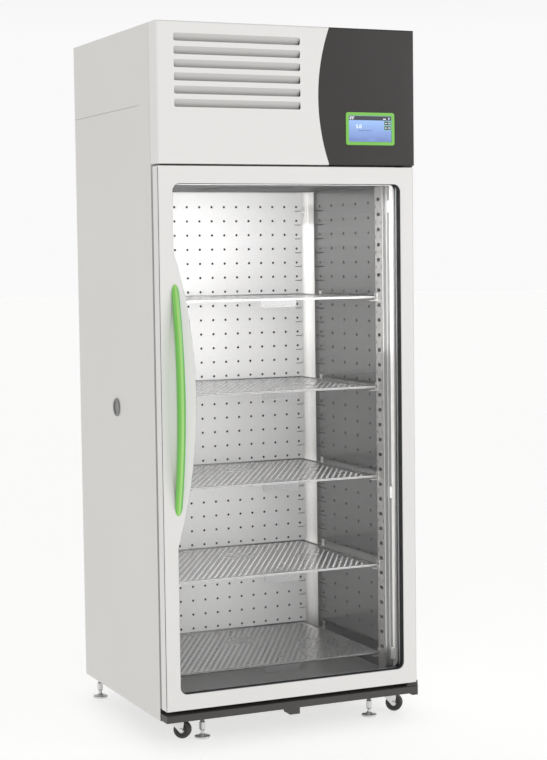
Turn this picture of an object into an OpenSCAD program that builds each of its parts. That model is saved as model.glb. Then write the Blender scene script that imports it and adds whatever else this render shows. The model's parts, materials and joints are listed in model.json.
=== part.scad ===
// Laboratory incubator: a tall reach-in cabinet with a glazed door, five shelves and a
// refrigeration deck behind a louvred fascia.
// Millimetres, +Z up, the front faces -Y. The origin is on the floor, under the middle
// of the whole machine.

/* [Cabinet] */
// Width of the outer shell
cab_w = 795; // [785:1:805]
// Height from the floor to the top of the casing
cab_h = 2020; // [2010:1:2040]
// Depth of the shell, from its front edge to its back panel
cab_d = 656; // [650:1:665]
// Height of the shell's lower edge above the floor
base_z = 75; // [75:0.5:76]
// Height of the seam between the side panels and the upper casing
seam_z = 1800; // [1795:1:1810]
// Thickness of the outer sheet metal
skin_t = 1.2; // [0.8:0.1:1.5]

/* [Door] */
// Thickness of the door without its gasket
door_t = 40; // [38:1:42]
// Space that the closed gasket takes between door and shell
gasket_t = 11; // [10:0.5:12]
// Height of the door's lower edge above the floor
door_z0 = 111; // [111:1:113]
// Height of the door's upper edge above the floor
door_z1 = 1627; // [1625:1:1629]
// Width of the painted frame around the glass
win_margin = 43.5; // [42:0.5:46]
// Corner radius of the window
win_r = 21.5; // [16:0.5:26]
// Radius of the arc that widens the stile behind the handle
bulge_r = 1430; // [1350:10:1500]
// How far that arc reaches into the window
bulge_depth = 60.5; // [50:0.5:62]
// Height of the middle of the handle
handle_z = 981; // [970:1:990]
// Length of the handle
handle_len = 645; // [620:5:660]
// How far the middle of the handle stands out from the door
handle_reach = 42; // [40:1:46]
// Width of the handle at its middle
handle_w = 25; // [22:1:28]
// Distance of the hinge axis from the door's right edge
hinge_inset = 9.5; // [9:0.5:11]

/* [Chamber] */
// Half width of the door opening in the cabinet
throat_x = 355; // [352:1:357]
// Half width between the side duct panels
duct_x = 330; // [326:1:332]
// Height of the chamber floor
floor_z = 127; // [126:1:129]
// Height of the chamber ceiling
ceiling_z = 1578; // [1570:1:1579]
// Height of the lowest shelf
shelf_z0 = 186; // [180:1:190]
// Pitch of the slots in the shelf standards
slot_pitch = 44.4; // [44:0.1:44.6]
// Slots of the standards from one shelf to the next
shelf_step = 6; // [5:1:6]
// Diameter of the access port's bore
port_d = 38; // [34:1:40]
// Height of the access port
port_z = 939; // [900:1:980]

/* [Running gear] */
// Diameter of the caster wheels
wheel_d = 50; // [46:1:51]
// Width of the caster wheels
wheel_w = 22; // [20:1:23]
// Distance from the swivel axis to the wheel axle
caster_trail = 27; // [22:1:28]
// Direction in which the casters trail, in degrees from +X
caster_yaw = -38; // [-60:1:-30]
// Space left under the wheels while the machine stands on its feet
wheel_lift = 2; // [1:0.5:2]
// Diameter of the foot pads
pad_d = 46; // [40:1:48]

/* [Fascia] */
// Height of the fascia's lower edge
fascia_z0 = 1632.5; // [1631:0.5:1635]
// Number of louvre slots
slot_count = 6; // [4:1:6]
// Height of one louvre slot
slot_h = 21.5; // [18:0.5:24]
// Pitch of the louvre slots
louvre_pitch = 35.8; // [34:0.2:36]
// Width of the touchscreen's bezel
screen_w = 156; // [140:1:160]
// Height of the touchscreen's bezel
screen_h = 93; // [84:1:98]

/* [Hidden] */
$fn = 64;

// Planes along X
half_w = cab_w / 2;
side_proud = 4.5;
flange_w = 12;
panel_x = half_w - skin_t;
liner_x = duct_x + 35;
side_duct_x = liner_x - 4;

// Planes along Y, from the front of the handle to the flange of the power inlet
rear_proud = 5;
total_d = handle_reach + door_t + gasket_t + cab_d + rear_proud;
door_y = handle_reach - total_d / 2;
front_y = door_y + door_t + gasket_t;
rear_y = front_y + cab_d;
fascia_y = door_y - 8;
throat_y = front_y + 21;
rear_tube_y = front_y + 549;
duct_y = front_y + 579;
liner_y = front_y + 597;

// Planes along Z
frame_z = base_z + 4;
frame_top = base_z + 34;
liner_z0 = floor_z - 10;
liner_z1 = ceiling_z + 124;
deck_z = liner_z1 + 54;
mid_fascia_z = (fascia_z0 + cab_h) / 2;

// Window of the door
win_x = half_w - win_margin;
win_z = [door_z0 + 44, door_z1 - 48];
bulge_x = -win_x + bulge_depth;
handle_x = -half_w + 46;
sill_y = door_y + 1;
sill_z = [base_z + 3, base_z + 23];

// Hinge axis, and the clearances of parts that turn or slide
hinge_x = half_w - hinge_inset;
hinge_y = door_y + door_t / 2;
pin_r = 4;
fit = 0.05;
gap = 0.3;

// Shelves hang from the standards on a pitch that the perforations share
shelf_x = duct_x - 5;
shelf_y = [front_y + 49, duct_y - 3];
side_duct_y = [throat_y + 46.3, front_y + 546];
standard_d = 46;
slot_rows = [0 : floor((ceiling_z - 40 - shelf_z0) / slot_pitch)];

// Running gear: distance from the middle, place along Y, and shift towards the hinge side
front_shift = 14.7;
axle_z = wheel_lift + wheel_d / 2;
front_caster = [343, front_y + 78, front_shift];
rear_caster = [262, front_y + 599, 0];
front_foot = [268.5, front_y + 41.5, front_shift];
rear_foot = [361, front_y + 629, 0];
stem_r = 6;

// Dark part of the fascia: everything to the right of an arc
dark_edge_x = 89;
dark_arc_r = 560;
slot_x = [-347, 34];
slot_top_z = cab_h - 33;
screen_x = 252.8;
screen_z = 1736;

// Fans and compressor
cond_fan = [-155, front_y + 84, 1897];
circ_fan = [0, front_y + 264, ceiling_z + 14];
comp_at = [200, front_y + 330];

// Access port in the left wall
port_y = front_y + 314;
port_r = port_d / 2;

// Power entry on the back
inlet_x = 250;
inlet_z = seam_z + 22;
rocker_x = inlet_x + 52;

white = [0.88, 0.88, 0.86];
grey = [0.80, 0.79, 0.76];
black = [0.16, 0.16, 0.17];
steel = [0.76, 0.77, 0.77];
zinc = [0.72, 0.73, 0.72];
green = [0.36, 0.74, 0.32];

// ---------------------------------------------------------------- helpers

// Box between the two bounds given for each axis
module slab(x, y, z)
    translate([x[0], y[0], z[0]]) cube([x[1] - x[0], y[1] - y[0], z[1] - z[0]]);

// Extrude a drawing in X and Z between two planes along Y
module along_y(y)
    translate([0, y[1], 0]) rotate([90, 0, 0]) linear_extrude(y[1] - y[0]) children();

// Extrude a drawing in Y and Z between two planes along X
module along_x(x)
    translate([x[0], 0, 0]) rotate([90, 0, 90]) linear_extrude(x[1] - x[0]) children();

// Rectangle with round corners
module rounded(x, y, r) {
    translate([x[0] + r, y[0]]) square([x[1] - x[0] - 2 * r, y[1] - y[0]]);
    translate([x[0], y[0] + r]) square([x[1] - x[0], y[1] - y[0] - 2 * r]);
    for (cx = [x[0] + r, x[1] - r], cy = [y[0] + r, y[1] - r]) translate([cx, cy]) circle(r);
}

// Cylinder along Y or X, starting at the given point
module rod_y(p, r, h) translate(p) rotate([-90, 0, 0]) cylinder(r = r, h = h);
module rod_x(p, r, h) translate(p) rotate([0, 90, 0]) cylinder(r = r, h = h);

// Quarter turn of a bent tube, about the Z axis
module elbow(r, bend_r) rotate_extrude(angle = 90) translate([bend_r, 0]) circle(r, $fn = 24);

// ---------------------------------------------------------------- base

module frame_tube(x, y, z) difference() {
    slab(x, y, z);
    slab([x[0] + 2.5, x[1] - 2.5], [y[0] + 2.5, y[1] - 2.5], [z[0] - 1, z[1] - 2.5]);
}

// Place of a foot or caster: s is -1 on the left and 1 on the right
function corner(s, at, z = 0) = [s * at[0] + at[2], at[1], z];

module caster_plate(at) translate(at) {
    plate_z = base_z - 4.2;
    translate([0, 0, plate_z]) linear_extrude(4) rounded([-22, 22], [-33, 33], 5);
    translate([0, 0, plate_z - 4.2]) cylinder(r = 22, h = 4.3);
    translate([0, 0, axle_z + 28.2]) cylinder(r = 5, h = plate_z - axle_z - 27);
    translate([0, 0, axle_z + 28.2]) cylinder(r = 8, h = 2.5);
    for (x = [-14, 14], y = [-26, 26])
        translate([x, y, plate_z - 4]) cylinder(r = 5.5, h = 4.1, $fn = 6);
}

module base_frame() color(black) {
    difference() {
        union() {
            for (y = [[front_y + 8, front_y + 109], [rear_tube_y, rear_y - 7]]) {
                frame_tube([-half_w + 3, half_w - 3], y, [frame_z, frame_top]);
                slab([-half_w + 3, half_w - 3], y, [base_z, frame_z]);
            }
            for (s = [-1, 1])
                frame_tube([s * (half_w - 28) - 25, s * (half_w - 28) + 25],
                           [front_y + 109.3, rear_tube_y - gap], [base_z, frame_top]);
            for (s = [-1, 1], at = [front_foot, rear_foot])
                translate(corner(s, at, frame_z)) cylinder(r = 13, h = frame_top - frame_z);
        }
        for (s = [-1, 1], at = [front_foot, rear_foot])
            translate(corner(s, at, base_z - 1)) cylinder(r = stem_r + fit, h = 60);
    }
    for (s = [-1, 1], at = [front_caster, rear_caster]) caster_plate(corner(s, at));
    slab([-half_w + 3, half_w - 3], [front_y + 8, rear_y - 7], [frame_top + 0.1, frame_top + 1.2]);
}

// Kick plate behind a sill that reaches forward under the door
module base_rail() color(black) {
    x = panel_x - gap;
    slab([-x, x], [front_y, front_y + 7], [base_z, base_z + 10]);
    slab([-x, x], [front_y + 3, front_y + 7], [base_z + 9, base_z + 35]);
    slab([-x, x], [sill_y, front_y + 4], [sill_z[1] - 2, sill_z[1]]);
    slab([-x, x], [sill_y, sill_y + 2], sill_z);
    for (s = [-1, 1])
        slab([s * (x - 1) - 1, s * (x - 1) + 1], [sill_y, front_y + 1], sill_z);
    slab([-18, 13], [sill_y, front_y - 4], [sill_z[0] - 18, sill_z[1] - 1]);
}

// Foot pad with a ball neck, a hexagonal adjuster and a threaded stem
module foot(s, at) color(zinc) translate(corner(s, at)) {
    rotate_extrude() polygon([
        [0, 0], [pad_d / 2 - 1, 0], [pad_d / 2, 1], [pad_d / 2, 7], [pad_d / 2 - 1.5, 8.5],
        [9, 13.5], [6, 15], [5, 18], [5, 22], [8, 25.5], [0, 25.5]
    ]);
    translate([0, 0, 25]) cylinder(r = 9.5, h = 23, $fn = 6);
    translate([0, 0, 47]) cylinder(r = stem_r, h = 48);
}

// ---------------------------------------------------------------- casters

// Children are placed on a caster, with its trail along local +X
module at_caster(s, at)
    translate(corner(s, at)) rotate([0, 0, caster_yaw]) children();

module caster_fork(s, at) color(zinc) at_caster(s, at) {
    leg_y = wheel_w / 2 + 1;
    crown_z = axle_z + 31;
    difference() {
        union() {
            translate([0, 0, crown_z]) cylinder(r = 22, h = 8.2);
            slab([-4, caster_trail + 8], [-leg_y - 2.5, leg_y + 2.5], [crown_z, crown_z + 3]);
        }
        translate([0, 0, crown_z - 1]) cylinder(r = 5 + fit, h = 12);
    }
    for (y = [-leg_y - 2.5, leg_y]) along_y([y, y + 2.5]) {
        polygon([[-15, crown_z + 2], [caster_trail + 8, crown_z + 2],
                 [caster_trail + 8, axle_z], [caster_trail - 6, axle_z - 5]]);
        translate([caster_trail, axle_z]) circle(8);
    }
    rod_y([caster_trail, -leg_y - 4, axle_z], pin_r, wheel_w + 10);
    for (y = [-leg_y - 7, leg_y + 2.4])
        translate([caster_trail, y, axle_z]) rotate([-90, 0, 0]) cylinder(r = 6.5, h = 4.6, $fn = 6);
}

module caster_wheel(s, at) color(black) at_caster(s, at)
    translate([caster_trail, 0, axle_z]) rotate([90, 0, 0]) difference() {
        rotate_extrude() {
            translate([pin_r + fit, -wheel_w / 2]) square([8, wheel_w]);
            translate([pin_r + 2, -wheel_w / 2 + 2.5]) square([12, wheel_w - 5]);
            rounded([wheel_d / 2 - 10, wheel_d / 2], [-wheel_w / 2, wheel_w / 2], 3.5);
        }
    }

// ---------------------------------------------------------------- shell

module side_panel(s) difference() {
    mirror([s < 0 ? 1 : 0, 0, 0]) {
        slab([panel_x, half_w], [front_y, rear_y], [base_z, seam_z]);
        for (y = [front_y, rear_y - skin_t])
            slab([half_w - flange_w, half_w], [y, y + skin_t], [frame_top + 2, seam_z]);
        slab([half_w - flange_w, half_w], [front_y, rear_y], [seam_z - skin_t, seam_z]);
    }
    if (s < 0) rod_x([-half_w - 1, port_y, port_z], port_r + 3.5, 20);
}

module left_side_panel() color(grey) side_panel(-1);
module right_side_panel() color(grey) side_panel(1);

module back_panel() color(grey) {
    x = half_w - flange_w - 0.5;
    slab([-x, x], [rear_y - skin_t, rear_y], [base_z + 3, seam_z - 3]);
    for (s = [-1, 1], z = [400, 900, 1400])
        slab([s * 180 - 12, s * 180 + 12], [rear_y - 0.1, rear_y + 1.5], [z - 150, z + 150]);
}

module upper_casing() color(grey) difference() {
    union() {
        difference() {
            slab([-half_w, half_w], [front_y, rear_y], [seam_z + 0.6, cab_h]);
            slab([-panel_x, panel_x], [front_y - 1, rear_y - skin_t], [seam_z - 1, cab_h - skin_t]);
        }
        for (s = [-1, 1])
            slab([s * (half_w - flange_w / 2) - flange_w / 2, s * (half_w - flange_w / 2) + flange_w / 2],
                 [front_y, front_y + skin_t], [seam_z + 0.6, cab_h]);
    }
    for (x = [-330, -110, 110], i = [0 : 6])
        along_y([rear_y - 3, rear_y + 1])
            rounded([x, x + 200], [seam_z + 50 + 18 * i, seam_z + 58 + 18 * i], 3.9);
    slab([inlet_x - 24.4, inlet_x + 68.4], [rear_y - 3, rear_y + 1],
         [inlet_z - 14.4, inlet_z + 14.4]);
}

module machine_deck() color(steel) {
    slab([-panel_x + 1, panel_x - 1], [front_y + 3, rear_y - 3], [deck_z, deck_z + 2]);
    for (y = [front_y + 3, rear_y - 5])
        slab([-panel_x + 1, panel_x - 1], [y, y + 2], [deck_z, deck_z + 14]);
}

module throat_frame() color(white) {
    z = [door_z0 + 0.5, fascia_z0 - 1];
    difference() {
        union() {
            slab([-half_w + flange_w + 0.5, half_w - flange_w - 0.5], [front_y, front_y + 2], z);
            slab([-throat_x - 2, throat_x + 2], [front_y, throat_y], [floor_z - 2, ceiling_z + 2]);
        }
        slab([-throat_x, throat_x], [front_y - 1, throat_y + 1], [floor_z, ceiling_z]);
    }
}

module insulation() color([0.93, 0.88, 0.70]) difference() {
    slab([-panel_x + 1, panel_x - 1], [front_y + 3, rear_y - skin_t - 1],
         [frame_top + 1.5, deck_z - 1]);
    slab([-liner_x - 1.5, liner_x + 1.5], [front_y - 1, liner_y + 1.5],
         [liner_z0 - 1.5, liner_z1 + 1.5]);
    rod_x([-half_w, port_y, port_z], port_r + 3.2, 60);
}

// ---------------------------------------------------------------- chamber

// Five sheets, with a hair of room at the seams so that each one stays a piece
module chamber_liner() color(steel) {
    y = [throat_y + 1, liner_y];
    for (s = [-1, 1]) difference() {
        slab([s * (liner_x + 0.5) - 0.5, s * (liner_x + 0.5) + 0.5], y, [liner_z0, liner_z1]);
        if (s < 0) rod_x([-liner_x - 2, port_y, port_z], port_r + 3.2, 4);
    }
    slab([-liner_x - 1, liner_x + 1], [liner_y + gap, liner_y + 1.3], [liner_z0, liner_z1]);
    slab([-liner_x + gap, liner_x - gap], y, [liner_z0 - 1, liner_z0]);
    slab([-liner_x + gap, liner_x - gap], y, [liner_z1, liner_z1 + 1]);
}

module ceiling_panel() color(steel) difference() {
    slab([-liner_x + 0.5, liner_x - 0.5], [throat_y + 1, liner_y - 20], [ceiling_z, ceiling_z + 1.5]);
    translate([circ_fan[0], circ_fan[1], ceiling_z - 1]) cylinder(r = 96, h = 4);
}

module floor_panel() color(steel) difference() {
    slab([-liner_x + 0.5, liner_x - 0.5], [throat_y + 1, liner_y - 0.5], [floor_z - 1.5, floor_z]);
    for (x = [-240 : 120 : 240]) translate([0, 0, floor_z - 3])
        linear_extrude(5) rounded([x - 35, x + 35], [front_y + 86, front_y + 92], 2.9);
}

// Perforated sheets in front of the air ducts, with folded rear edges
module duct_panels() color(steel) {
    z = [floor_z + gap, ceiling_z - 1];
    slab([-duct_x - 2, duct_x + 2], [duct_y, duct_y + 1.2], z);
    for (s = [-1, 1])
        slab([s * (duct_x + 1.4) - 0.6, s * (duct_x + 1.4) + 0.6], [duct_y, duct_y + 14], z);
    for (s = [-1, 1]) difference() {
        union() {
            slab([s * (side_duct_x + 0.6) - 0.6, s * (side_duct_x + 0.6) + 0.6], side_duct_y, z);
            for (y = [side_duct_y[0], side_duct_y[1] - 1.2])
                slab([s * (side_duct_x + 1.8) - 1.8, s * (side_duct_x + 1.8) + 1.8], [y, y + 1.2], z);
        }
        if (s < 0) rod_x([-liner_x, port_y, port_z], port_r + 4, 10);
    }
}

// Front uprights: a flange that faces the door and a slotted web
module shelf_standards() color(steel) for (s = [-1, 1]) mirror([s < 0 ? 1 : 0, 0, 0]) {
    z = [floor_z + gap, ceiling_z - 1];
    slab([duct_x, throat_x + 4], [throat_y + 1.2, throat_y + 2.4], z);
    slab([duct_x, duct_x + 15], [throat_y + standard_d - 1.2, throat_y + standard_d], z);
    difference() {
        slab([duct_x, duct_x + 1.2], [throat_y + 1.2, throat_y + standard_d], z);
        for (i = slot_rows) translate([duct_x - 1, throat_y + 11, shelf_z0 + slot_pitch * i + 16])
            cube([4, 22, 9]);
    }
}

module shelf(i) color(steel) {
    z = shelf_z0 + slot_pitch * shelf_step * (i - 1);
    slab([-shelf_x, shelf_x], shelf_y, [z - 1.5, z]);
    for (s = [-1, 1])
        slab([s * (shelf_x - 0.6) - 0.6, s * (shelf_x - 0.6) + 0.6], shelf_y, [z - 10, z + 3]);
    for (y = [shelf_y[0], shelf_y[1] - 4])
        slab([-shelf_x, shelf_x], [y, y + 4], [z - 10, z + 3]);
    slab([-50, 63], [shelf_y[0], shelf_y[0] + 1.5], [z - 23, z - 9]);
}

// Twenty small angles that carry the corners of the shelves, on the uprights and side ducts
module shelf_clips() color(steel)
    for (i = [1 : 5], s = [-1, 1], at = [[duct_x, shelf_y[0] + 4], [side_duct_x, side_duct_y[1] - 50]])
        mirror([s < 0 ? 1 : 0, 0, 0]) {
            y = [at[1], at[1] + 16];
            z = shelf_z0 + slot_pitch * shelf_step * (i - 1) - 10.2;
            slab([duct_x - 22, at[0] - 0.2], y, [z - 1.5, z]);
            slab([at[0] - 1.7, at[0] - 0.2], y, [z - 1.5, z + 22]);
        }

module temperature_sensor() color(zinc) {
    x = duct_x + 14;
    z = ceiling_z - 80;
    slab([x, x + 14], [liner_y - 2, liner_y], [z, z + 34]);
    slab([x + 3, x + 11], [liner_y - 10, liner_y - 2], [z + 14, z + 20]);
    translate([x + 7, liner_y - 12, z - 22]) cylinder(r = 3, h = 60);
}

module jamb_clips() color(white)
    for (z = [floor_z + 45, 655, ceiling_z - 78])
        slab([throat_x - 7, throat_x - 0.2], [front_y + 6, throat_y - 1], [z, z + 34]);

module port_tube() color(black) difference() {
    union() {
        rod_x([-half_w - side_proud, port_y, port_z], port_r + 7, side_proud);
        rod_x([-half_w - 1, port_y, port_z], port_r + 3, half_w - duct_x + 2);
    }
    rod_x([-half_w - 10, port_y, port_z], port_r, 100);
}

module port_plug() color([0.55, 0.55, 0.54]) {
    rod_x([-half_w - 1.5, port_y, port_z], port_r - 0.1, half_w - duct_x);
}

// ---------------------------------------------------------------- machinery

module evaporator_coil() color(steel) {
    y = [circ_fan[1] + 150, circ_fan[1] + 235];
    z = [ceiling_z + 14, liner_z1 - 12];
    for (x = [-250 : 20 : 250]) slab([x - 0.5, x + 0.5], y, z);
    for (s = [-1, 1]) slab([s * 262 - 1.5, s * 262 + 1.5], y, [ceiling_z + 2, liner_z1 - 3]);
    for (i = [0 : 2], k = [0 : 2])
        rod_x([-268, y[0] + 16 + 26 * i, z[0] + 18 + 30 * k], 5, 536);
}

module circulation_motor() color(black) {
    z = circ_fan[2] + 28;
    translate([circ_fan[0], circ_fan[1], 0]) {
        translate([0, 0, z]) cylinder(r = 38, h = 46);
        translate([0, 0, circ_fan[2]]) cylinder(r = pin_r, h = 30);
        slab([-60, 60], [-15, 15], [z + 46, z + 48]);
        for (s = [-1, 1]) slab([s * 59 - 1, s * 59 + 1], [-15, 15], [z + 46, liner_z1 - gap]);
    }
}

// Hub with pitched blades, turning about the Z axis above its origin
module fan_rotor(tip_r, hub_r, hub_h, blades) {
    difference() {
        cylinder(r = hub_r, h = hub_h);
        translate([0, 0, -1]) cylinder(r = pin_r + fit, h = hub_h + 2);
    }
    intersection() {
        for (i = [0 : blades - 1]) rotate([0, 0, 360 / blades * i])
            translate([hub_r - 2, 0, hub_h / 2]) rotate([28, 0, 0])
                translate([0, -tip_r * 0.27, -1]) cube([tip_r, tip_r * 0.54, 2]);
        difference() {
            translate([0, 0, -60]) cylinder(r = tip_r, h = 120);
            translate([0, 0, -61]) cylinder(r = hub_r - 1, h = 122);
        }
    }
}

module circulation_fan() color(steel)
    translate(circ_fan) fan_rotor(90, 20, 22, 5);

module condenser_fan() color(black)
    translate(cond_fan) rotate([-90, 0, 0]) fan_rotor(88, 24, 22, 5);

module condenser_shroud() color(zinc) {
    y = cond_fan[1];
    difference() {
        slab([slot_x[0], slot_x[1]], [y - 14, y + 26], [deck_z + 4, cab_h - 8]);
        slab([slot_x[0] + 1.5, slot_x[1] - 1.5], [y - 15, y + 24.5], [deck_z + 5.5, cab_h - 9.5]);
        rod_y([cond_fan[0], y + 20, cond_fan[2]], 93, 10);
    }
    rod_y([cond_fan[0], y + 34, cond_fan[2]], 36, 48);
    rod_y([cond_fan[0], y, cond_fan[2]], pin_r, 40);
    for (a = [45 : 90 : 315]) translate([cond_fan[0], y + 26, cond_fan[2]]) rotate([0, a, 0])
        slab([30, 108], [0, 3], [-5, 5]);
    rod_y([cond_fan[0], y + 26, cond_fan[2]], 34, 8.5);
}

module condenser_coil() color(steel) {
    y = [cond_fan[1] - 62, cond_fan[1] - 18];
    z = [deck_z + 8, cab_h - 14];
    for (x = [slot_x[0] + 6 : 17 : slot_x[1] - 4]) slab([x - 0.5, x + 0.5], y, z);
    for (i = [0, 1], k = [0 : 6])
        rod_x([slot_x[0] - 2, y[0] + 12 + 20 * i, z[0] + 18 + 34 * k], 4.8, slot_x[1] - slot_x[0] + 4);
}

module compressor() color(black) translate([comp_at[0], comp_at[1], deck_z + 2.2]) {
    for (x = [-62, 62], y = [-62, 62]) translate([x, y, 0]) cylinder(r = 12, h = 14);
    slab([-80, 80], [-80, 80], [14, 17]);
    translate([0, 0, 17]) rotate_extrude() {
        square([74, 118]);
        intersection() {
            translate([0, 60]) circle(94, $fn = 96);
            translate([0, 110]) square([74, 60]);
        }
    }
    slab([66, 88], [-34, 34], [60, 118]);
}

// Discharge line with its filter drier, and the suction line that rises from the deck
module refrigerant_lines() color([0.72, 0.45, 0.28]) {
    x = comp_at[0];
    y = comp_at[1];
    z = deck_z + 94;
    bend = 20;
    front = front_y + 44;
    rod_y([x, front + bend, z], 4, y - 74.3 - front - bend);
    rod_y([x, front + 60, z], 13, 90);
    translate([x - bend, front + bend, z]) rotate([0, 0, -90]) elbow(4, bend);
    rod_x([slot_x[1] + 2.3, front, z], 4, x - bend - slot_x[1] - 2.3);
    rod_x([x - 100, y, z], 4, 25.7);
    translate([x - 100, y, z - bend]) mirror([1, 0, 0]) rotate([90, 0, 0]) elbow(4, bend);
    translate([x - 100 - bend, y, deck_z + 2.3]) cylinder(r = 4, h = z - bend - deck_z - 2.3);
}

module control_board() color([0.10, 0.38, 0.20]) {
    y = front_y + 30;
    slab([120, 370], [y, y + 2], [deck_z + 20, cab_h - 40]);
    slab([140, 210], [y - 26, y - 0.0], [deck_z + 40, deck_z + 110]);
    slab([230, 260], [y - 14, y], [deck_z + 50, deck_z + 90]);
    slab([280, 350], [y - 10, y], [deck_z + 40, deck_z + 54]);
    for (x = [285 : 22 : 351]) rod_y([x, y - 24, deck_z + 100], 8, 24.5);
    for (x = [130, 360], z = [deck_z + 30, cab_h - 50]) rod_y([x, y, z], 4, 14);
}

// ---------------------------------------------------------------- fascia

// Drawing of everything to the right of the arc
module dark_side() intersection() {
    translate([dark_edge_x + dark_arc_r, mid_fascia_z - 5]) circle(dark_arc_r, $fn = 360);
    translate([0, fascia_z0 - 10]) square([half_w + 10, cab_h - fascia_z0 + 20]);
}

// Tray with round front edges, open at the back
module fascia_tray() difference() {
    intersection() {
        translate([0, 0, fascia_z0]) linear_extrude(cab_h - fascia_z0)
            rounded([-half_w, half_w], [fascia_y, front_y + 20], 6);
        along_x([-half_w, half_w])
            rounded([fascia_y, front_y + 20], [fascia_z0, cab_h], 5);
        slab([-half_w, half_w], [fascia_y, front_y - 2], [fascia_z0, cab_h]);
    }
    slab([-half_w + 2.5, half_w - 2.5], [fascia_y + 2.5, front_y], [fascia_z0 + 2.5, cab_h - 2.5]);
}

// Top height of louvre slot number i, counted from the top
function louvre_z(i) = slot_top_z - louvre_pitch * i;

module fascia_panel() color(white) {
    difference() {
        fascia_tray();
        along_y([fascia_y - 1, front_y]) dark_side();
        for (i = [0 : slot_count - 1]) along_y([fascia_y - 1, fascia_y + 3])
            rounded(slot_x, [louvre_z(i) - slot_h, louvre_z(i)], 5);
    }
    for (i = [0 : slot_count - 1]) along_x(slot_x)
        polygon([[fascia_y, louvre_z(i) + 2], [fascia_y + 1.8, louvre_z(i) + 2],
                 [fascia_y + 16, louvre_z(i) - slot_h], [fascia_y + 14.2, louvre_z(i) - slot_h]]);
}

module fascia_dark_panel() color(black) difference() {
    intersection() {
        fascia_tray();
        along_y([fascia_y - 1, front_y]) translate([0.4, 0]) dark_side();
    }
    along_y([fascia_y - 1, fascia_y + 4]) rounded(
        [screen_x - screen_w / 2 + 3, screen_x + screen_w / 2 - 3],
        [screen_z - screen_h / 2 + 3, screen_z + screen_h / 2 - 3], 3);
}

module screen_outline(inset, r) rounded(
    [screen_x - screen_w / 2 + inset, screen_x + screen_w / 2 - inset],
    [screen_z - screen_h / 2 + inset, screen_z + screen_h / 2 - inset], r);

module touchscreen_bezel() color(green) along_y([fascia_y - 2.5, fascia_y]) difference() {
    screen_outline(0, 7);
    screen_outline(9.5, 2);
}

module display_screen() color([0.40, 0.52, 0.78]) {
    along_y([fascia_y - 1.2, fascia_y + 1]) screen_outline(9.7, 1.8);
    along_y([fascia_y + 0.3, fascia_y + 12]) screen_outline(4, 3);
}

// ---------------------------------------------------------------- door

// Window of the door, grown by the given amount
module window_outline(grow = 0) difference() {
    rounded([-win_x - grow, win_x + grow], [win_z[0] - grow, win_z[1] + grow], win_r + grow);
    translate([bulge_x - bulge_r, handle_z]) circle(bulge_r - grow, $fn = 720);
}

// Finger recess in the stile behind the handle
module recess_outline(grow = 0) {
    half_l = handle_len / 2 - 34 + grow;
    half_b = 17 + grow;
    r = (half_l * half_l + half_b * half_b) / (2 * half_b);
    intersection() {
        translate([handle_x - 8 - half_b + r, handle_z]) circle(r, $fn = 720);
        translate([handle_x - 8 + half_b - r, handle_z]) circle(r, $fn = 720);
    }
}

module door_outline(inset) rounded(
    [-half_w + inset, half_w - inset], [door_z0 + inset, door_z1 - inset], max(0.5, 3 - inset));

// Folded steel skin: front sheet, outer edges and the deep reveal of the window
module door_frame() color(white) difference() {
    intersection() {
        along_y([door_y, door_y + 36]) door_outline(0);
        translate([0, 0, door_z0 - 1]) linear_extrude(door_z1 - door_z0 + 2)
            rounded([-half_w, half_w], [door_y, door_y + 60], 7);
    }
    along_y([door_y - 1, door_y + 40]) window_outline();
    difference() {
        along_y([door_y + 1.5, door_y + 40]) difference() {
            door_outline(1.5);
            window_outline(1.5);
        }
        along_y([door_y, door_y + 7.5]) recess_outline(1.5);
    }
    along_y([door_y + 21.8, door_y + 40]) window_outline(12);
    along_y([door_y - 1, door_y + 6]) recess_outline();
    for (z = [door_z0 - 1, door_z1 - 4]) translate([hinge_x, hinge_y, z]) cylinder(r = 6.5, h = 5);
}

module door_back_frame() color(black) difference() {
    along_y([door_y + 36.2, door_y + door_t]) door_outline(2.5);
    along_y([door_y + 35, door_y + door_t + 1])
        rounded([-win_x - 1, win_x + 1], [win_z[0] - 1, win_z[1] + 1], win_r);
}

// Black lip that lines the reveal in front of the glass
module glazing_seal() color(black) along_y([door_y + 2.5, door_y + 21.5]) difference() {
    window_outline(-0.1);
    window_outline(-1.3);
}

module glass_pane(y) along_y([y, y + 4])
    rounded([-win_x - 9, win_x + 9], [win_z[0] - 9, win_z[1] + 9], 12);

module glass_panes() color([0.75, 0.85, 0.85, 0.35]) {
    glass_pane(door_y + 22);
    glass_pane(door_y + 31.8);
}

module glass_spacer() color(steel) along_y([door_y + 26.1, door_y + 31.7]) difference() {
    rounded([-win_x - 7, win_x + 7], [win_z[0] - 7, win_z[1] + 7], 10);
    rounded([-win_x + 1, win_x - 1], [win_z[0] + 1, win_z[1] - 1], 4);
}

module door_gasket() color(black)
    along_y([door_y + door_t, front_y - gap]) difference() {
        rounded([-half_w + 6, hinge_x - 2], [door_z0 + 6, door_z1 - 6], 6);
        rounded([-half_w + 22, hinge_x - 18], [door_z0 + 22, door_z1 - 22], 4);
    }

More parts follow.
